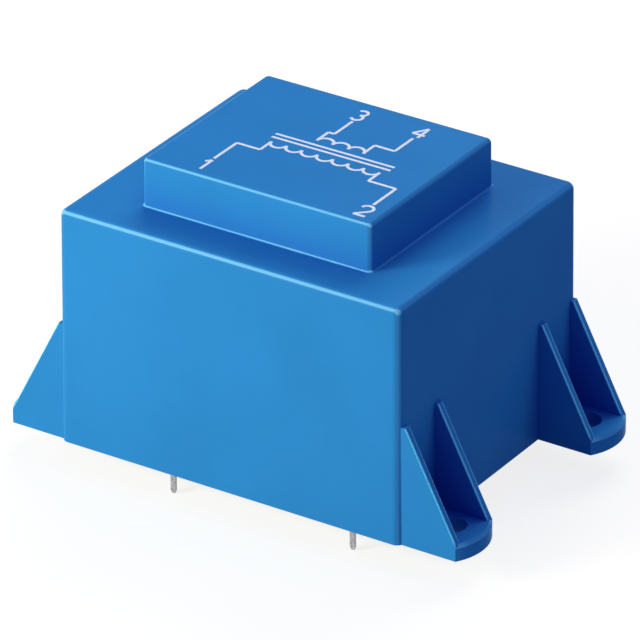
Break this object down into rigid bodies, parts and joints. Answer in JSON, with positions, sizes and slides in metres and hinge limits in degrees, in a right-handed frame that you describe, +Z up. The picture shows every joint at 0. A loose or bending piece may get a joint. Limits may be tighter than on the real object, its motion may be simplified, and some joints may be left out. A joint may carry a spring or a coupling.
{
  "type": "encapsulated circuit-board transformer",
  "caption": "Box-shaped potted mains transformer in a drafted blue moulded housing with a raised block on top, gusseted screw feet and flat solder pins.",
  "frame": {"origin": "centre of the four screw holes, on the seating plane under the feet", "axes": "+X along the long side from left to right, +Y from the primary pins' side to the secondary pins' side, +Z up"},
  "size_m": [0.0784, 0.0476, 0.0488],
  "materials": {
    "housing_plastic": "satin moulded, blue",
    "resin": "cast, slightly glossy",
    "sheet_steel": "varnished sheet",
    "former_plastic": "moulded, natural",
    "enamelled_copper": "enamelled",
    "tape": "film",
    "tinned_pin": "tinned",
    "solder": "solidified solder"
  },
  "bodies": {
    "root": {"housing": "housing_plastic", "potting_resin": "resin", "core_e_laminations": "sheet_steel", "core_i_laminations": "sheet_steel", "bobbin": "former_plastic", "primary_winding": "enamelled_copper", "secondary_winding": "enamelled_copper", "primary_tape": "tape", "secondary_tape": "tape", "primary_pin_1": "tinned_pin", "primary_pin_2": "tinned_pin", "secondary_pin_1": "tinned_pin", "secondary_pin_2": "tinned_pin", "primary_lead_1": "enamelled_copper", "primary_lead_2": "enamelled_copper", "secondary_lead_1": "enamelled_copper", "secondary_lead_2": "enamelled_copper", "solder_joints": "solder"}
  },
  "joints": []
}
